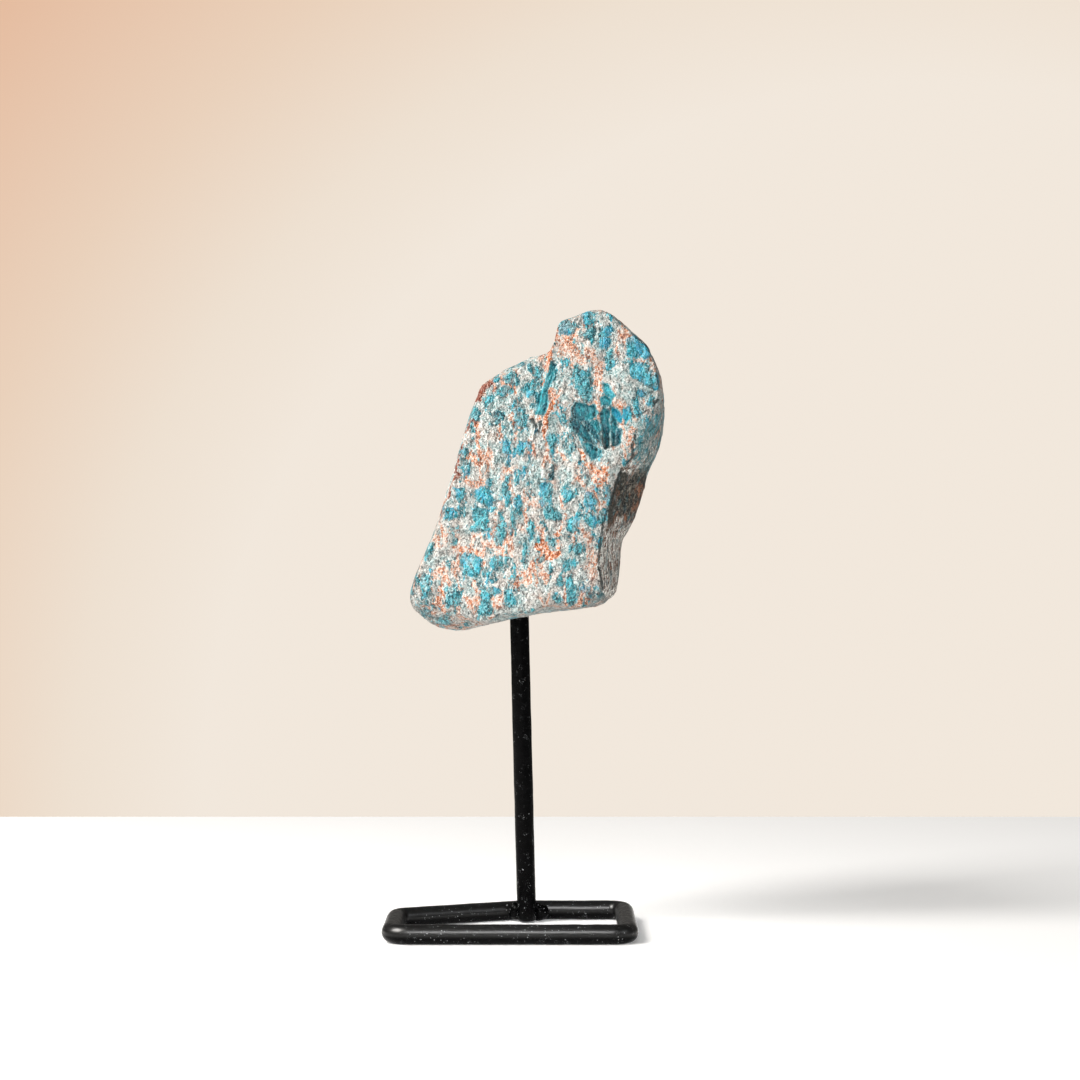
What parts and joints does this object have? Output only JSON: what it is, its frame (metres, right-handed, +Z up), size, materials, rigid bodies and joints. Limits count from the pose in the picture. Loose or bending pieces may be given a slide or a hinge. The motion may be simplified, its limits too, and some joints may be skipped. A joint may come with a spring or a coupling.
{
  "type": "raw apatite stone on stand",
  "caption": "Rough blue-green apatite chunk held upright on a black bar post that rises from a flat open loop base.",
  "frame": {"origin": "on the table, under the middle of the whole object's bounding box", "axes": "+Z up along the post, -Y towards the viewer of the stone's flat face, +X to the viewer's right"},
  "size_m": [0.0696, 0.052, 0.154],
  "materials": {
    "stone": "rough broken",
    "black_paint": "satin black paint"
  },
  "bodies": {
    "root": {"apatite_stone": "stone", "post": "black_paint", "base_loop": "black_paint", "weld_right": "black_paint", "weld_left": "black_paint"}
  },
  "joints": []
}
